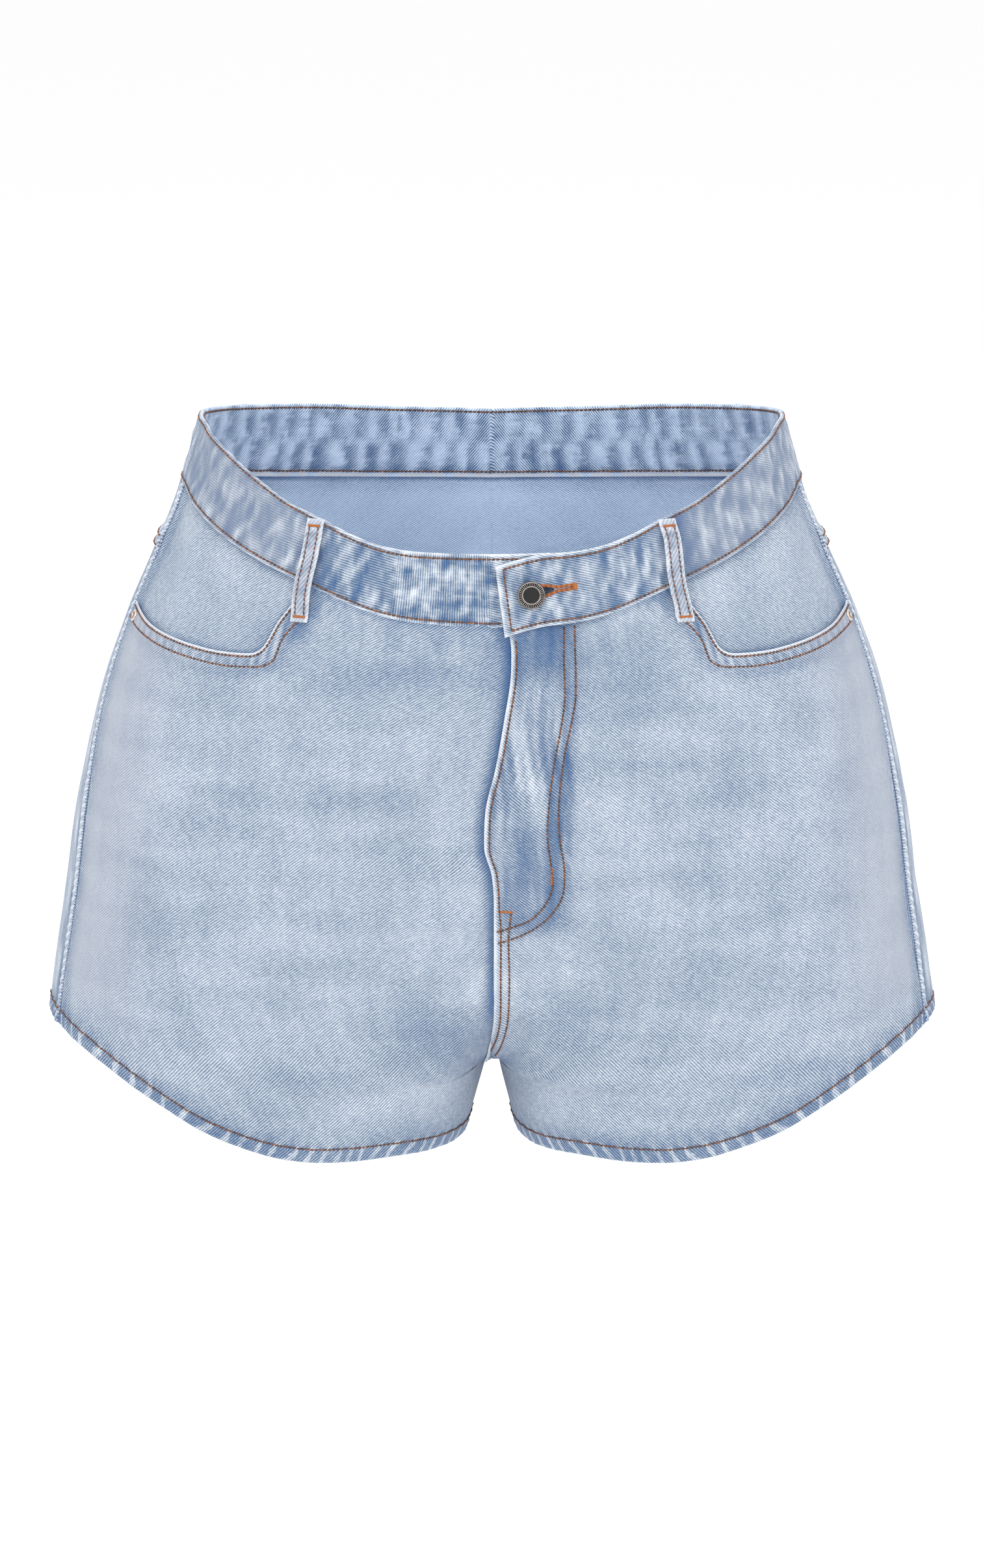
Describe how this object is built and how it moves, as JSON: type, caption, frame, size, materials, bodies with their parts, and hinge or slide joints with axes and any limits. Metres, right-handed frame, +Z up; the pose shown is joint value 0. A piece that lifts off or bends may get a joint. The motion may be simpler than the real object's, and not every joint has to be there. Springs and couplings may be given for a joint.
{
  "type": "denim shorts",
  "caption": "High-waisted denim shorts in their worn, hollow shape, with an open waist, open legs, scooped front pockets, fly front and waistband button.",
  "frame": {"origin": "centre of the waist opening, where the wearer holds the shorts up", "axes": "+X to the wearer's left, -Y to the front, +Z up through the waist"},
  "size_m": [0.579, 0.2829, 0.4615],
  "materials": {
    "panel_denim": "light wash twill denim",
    "band_denim": "light wash twill denim, mottled at the waistband",
    "loop_denim": "denim strip with worn pale edges",
    "thread": "brown and orange topstitching thread",
    "button_metal": "aged dark silver",
    "rivet_metal": "aged copper"
  },
  "bodies": {
    "root": {"waistband": "band_denim", "front_panel_left": "panel_denim", "front_panel_right": "panel_denim", "pocket_facing_left": "panel_denim", "pocket_facing_right": "panel_denim", "back_yoke_left": "panel_denim", "back_yoke_right": "panel_denim", "back_panel_left": "panel_denim", "back_panel_right": "panel_denim", "belt_loop_front_left": "loop_denim", "belt_loop_front_right": "loop_denim", "belt_loop_back_left": "loop_denim", "belt_loop_back_right": "loop_denim", "belt_loop_back_centre": "loop_denim", "waist_button": "button_metal", "rivet_inner_left": "rivet_metal", "rivet_inner_right": "rivet_metal", "rivet_outer_left": "rivet_metal", "rivet_outer_right": "rivet_metal"}
  },
  "joints": []
}
